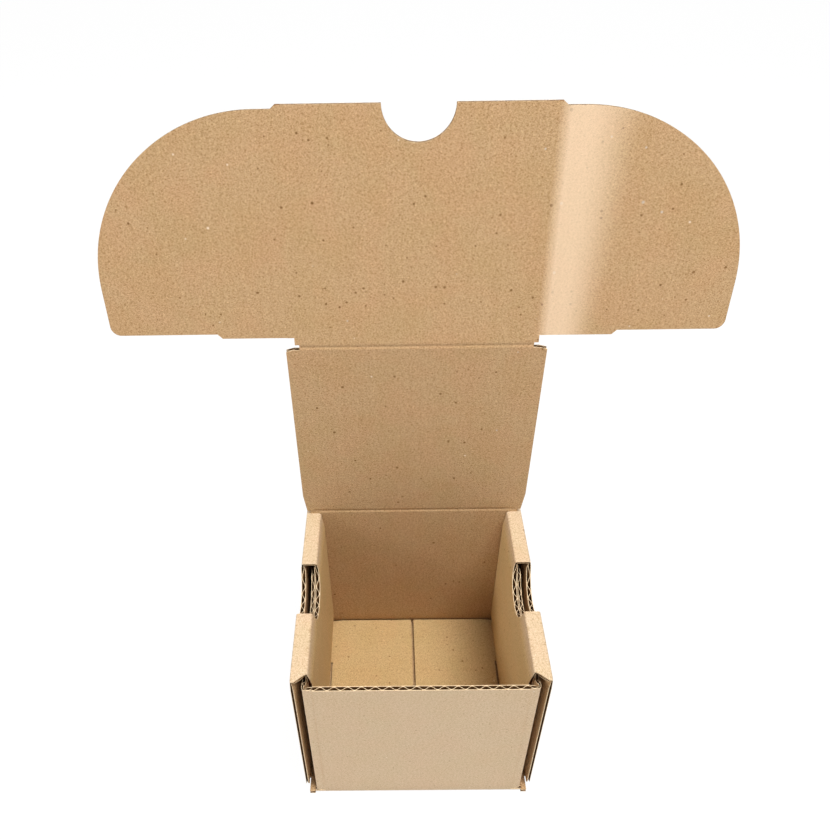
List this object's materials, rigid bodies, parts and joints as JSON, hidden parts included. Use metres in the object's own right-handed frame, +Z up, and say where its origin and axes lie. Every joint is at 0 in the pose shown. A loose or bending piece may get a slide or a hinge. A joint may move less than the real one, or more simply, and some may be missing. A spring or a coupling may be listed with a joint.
{
  "type": "corrugated mailer box",
  "caption": "Small cube mailer box of kraft corrugated board with rolled side walls, an upright hinged lid, and a tuck flap with rounded ears and a thumb notch.",
  "frame": {"origin": "middle of the underside, midway between the outer side panels and between the front and back walls", "axes": "+X to the right as seen from the front, +Y from the front wall to the back wall, +Z up along the open lid"},
  "size_m": [0.2812, 0.1224, 0.3222],
  "materials": {
    "kraft_board": "matt brown kraft liner with fine fibres"
  },
  "bodies": {
    "box": {"box_base": "kraft_board"},
    "lid": {"lid_panel": "kraft_board"},
    "flap": {"front_flap": "kraft_board"},
    "left_ear": {"ear_left": "kraft_board"},
    "right_ear": {"ear_right": "kraft_board"}
  },
  "joints": [
    {"name": "lid_hinge", "type": "hinge", "parent": "box", "child": "lid", "pos_m": [0, 0.05355, 0.107], "axis": [1, 0, 0], "range_deg": [-90, 90]},
    {"name": "flap_crease", "type": "hinge", "parent": "lid", "child": "flap", "pos_m": [0, 0.05355, 0.2168], "axis": [1, 0, 0], "range_deg": [-83, 97]},
    {"name": "left_ear_crease", "type": "hinge", "parent": "flap", "child": "left_ear", "pos_m": [-0.0566, 0.05355, 0.2168], "axis": [0, 0.1219, 0.9925], "range_deg": [-90, 90]},
    {"name": "right_ear_crease", "type": "hinge", "parent": "flap", "child": "right_ear", "pos_m": [0.0566, 0.05355, 0.2168], "axis": [0, -0.1219, -0.9925], "range_deg": [-90, 90]}
  ]
}
